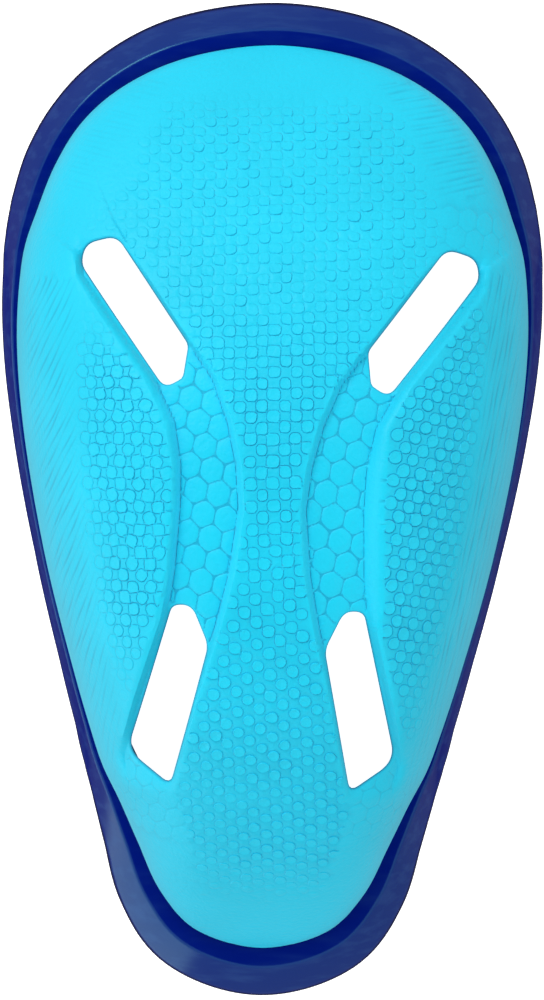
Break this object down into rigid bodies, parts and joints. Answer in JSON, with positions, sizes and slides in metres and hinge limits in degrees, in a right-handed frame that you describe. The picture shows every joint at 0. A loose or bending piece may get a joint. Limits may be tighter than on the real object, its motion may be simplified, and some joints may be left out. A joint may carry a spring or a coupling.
{
  "type": "abdominal guard",
  "caption": "Vented egg-shaped sports cup with a waisted textured middle panel, raised side lobes and a soft glossy rim, worn over the groin to spread blows.",
  "frame": {"origin": "centre of the rim's outline, on the plane its flat back rests on", "axes": "+Z out of the front of the cup, +Y to the wide waist end, +X to the right of the picture"},
  "size_m": [0.0946, 0.175, 0.052],
  "materials": {
    "cup": "satin moulded, with round and six-sided bumps",
    "rim": "glossy soft moulding with faint scuffs"
  },
  "bodies": {
    "root": {"cup": "cup", "rim": "rim"}
  },
  "joints": []
}
